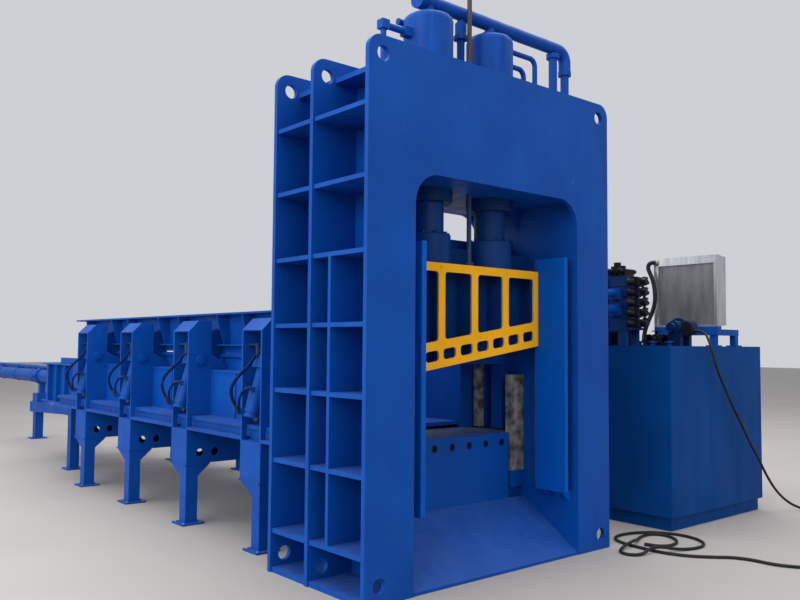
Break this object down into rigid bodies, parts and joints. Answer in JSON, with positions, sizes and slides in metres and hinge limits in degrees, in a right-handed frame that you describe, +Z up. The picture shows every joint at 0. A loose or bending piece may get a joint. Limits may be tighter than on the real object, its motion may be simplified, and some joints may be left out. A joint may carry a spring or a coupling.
{
  "type": "hydraulic gantry shear",
  "caption": "Hydraulic gantry shear with a sloping-blade ram, hold-down press, side-tilting feed box, pusher cylinder and power unit.",
  "frame": {"origin": "on the floor under the blade line, midway between the portal's columns", "axes": "+Z up, +X across the portal towards the power unit, +Y along the feed box away from the discharge side"},
  "size_m": [5.2229, 14.9094, 4.75],
  "materials": {
    "shear_blue": "satin royal blue paint",
    "tank_blue": "satin deep blue paint",
    "motor_blue": "satin blue paint",
    "ram_yellow": "gloss yellow paint",
    "blade_steel": "ground tool steel",
    "bright_rod": "hard chrome",
    "rough_steel": "bare rolled steel",
    "dark_steel": "blackened steel",
    "bronze_liner": "machined bronze",
    "valve_dark": "dark grey paint",
    "cooler_alloy": "brazed fins",
    "cooler_frame_metal": "mill-finish header tanks on a blue painted stand",
    "fan_plastic": "black moulding",
    "black_rubber": "matt rubber sheath"
  },
  "bodies": {
    "gantry": {"anvil": "shear_blue", "back_plate": "shear_blue", "bed_frame_1": "shear_blue", "bed_frame_2": "shear_blue", "bed_frame_3": "shear_blue", "bed_frame_4": "shear_blue", "blade_bolts": "dark_steel", "chute": "shear_blue", "cooler_core": "cooler_alloy", "cooler_frame": "cooler_frame_metal", "cross_beam_front": "shear_blue", "cross_beam_rear": "shear_blue", "drain_pipes": "shear_blue", "far_wall": "shear_blue", "feed_cylinder": "shear_blue", "feed_floor": "shear_blue", "front_plate": "shear_blue", "header_pipe": "shear_blue", "left_column_front": "shear_blue", "left_column_rear": "shear_blue", "left_guide": "shear_blue", "left_liner": "bronze_liner", "left_main_cylinder": "shear_blue", "lower_blade": "shear_blue", "manifold": "shear_blue", "middle_plate": "shear_blue", "motor_pumps": "motor_blue", "near_wall": "shear_blue", "pilot_valves": "valve_dark", "prefill_valve": "shear_blue", "press_cylinder": "shear_blue", "press_liners": "rough_steel", "pressure_pipes": "shear_blue", "rear_frame": "shear_blue", "rear_table": "shear_blue", "rear_trough": "shear_blue", "right_column_front": "shear_blue", "right_column_rear": "shear_blue", "right_guide": "shear_blue", "right_liner": "bronze_liner", "right_main_cylinder": "shear_blue", "supply_cable": "black_rubber", "tank": "tank_blue"},
    "ram": {"ram_body": "shear_blue", "ram_front_frame": "ram_yellow", "upper_blade": "blade_steel", "left_main_rod": "shear_blue", "right_main_rod": "shear_blue", "left_rod_clamp": "shear_blue", "right_rod_clamp": "shear_blue", "travel_rod": "rough_steel"},
    "hold_down": {"press_head": "shear_blue", "press_rod": "bright_rod"},
    "pusher": {"feed_rod": "bright_rod", "pusher_head": "shear_blue"},
    "flap": {"side_flap": "shear_blue"},
    "flap_barrels": {"flap_barrels": "shear_blue"},
    "flap_rods": {"flap_rods": "bright_rod"},
    "fan": {"cooler_fan": "fan_plastic"}
  },
  "joints": [
    {"name": "ram_slide", "type": "slide", "parent": "gantry", "child": "ram", "axis": [0, 0, -1], "range_m": [0, 0.72]},
    {"name": "hold_down_slide", "type": "slide", "parent": "gantry", "child": "hold_down", "axis": [0, 0, -1], "range_m": [0, 0.53]},
    {"name": "feed_slide", "type": "slide", "parent": "gantry", "child": "pusher", "axis": [0, -1, 0], "range_m": [0, 5.2]},
    {"name": "flap_hinge", "type": "hinge", "parent": "gantry", "child": "flap", "pos_m": [-0.65, 0, 1.49], "axis": [0, 1, 0], "range_deg": [0, 40]},
    {"name": "barrel_tilt", "type": "hinge", "parent": "gantry", "child": "flap_barrels", "pos_m": [-0.925, 0, 1.45], "axis": [0, 1, 0], "range_deg": [0, 17.58]},
    {"name": "rod_slide", "type": "slide", "parent": "flap_barrels", "child": "flap_rods", "axis": [0.2559, 0, 0.9667], "range_m": [0, 0.16465]},
    {"name": "fan_spin", "type": "hinge", "parent": "gantry", "child": "fan", "pos_m": [3.4, -0.054, 2.165], "axis": [1, 0, 0], "continuous": true}
  ],
  "couplings": [
    {"joint": "barrel_tilt", "follows": "flap_hinge", "ratio": 0.43922},
    {"joint": "rod_slide", "follows": "flap_hinge", "m_per_rad": 0.2357}
  ]
}
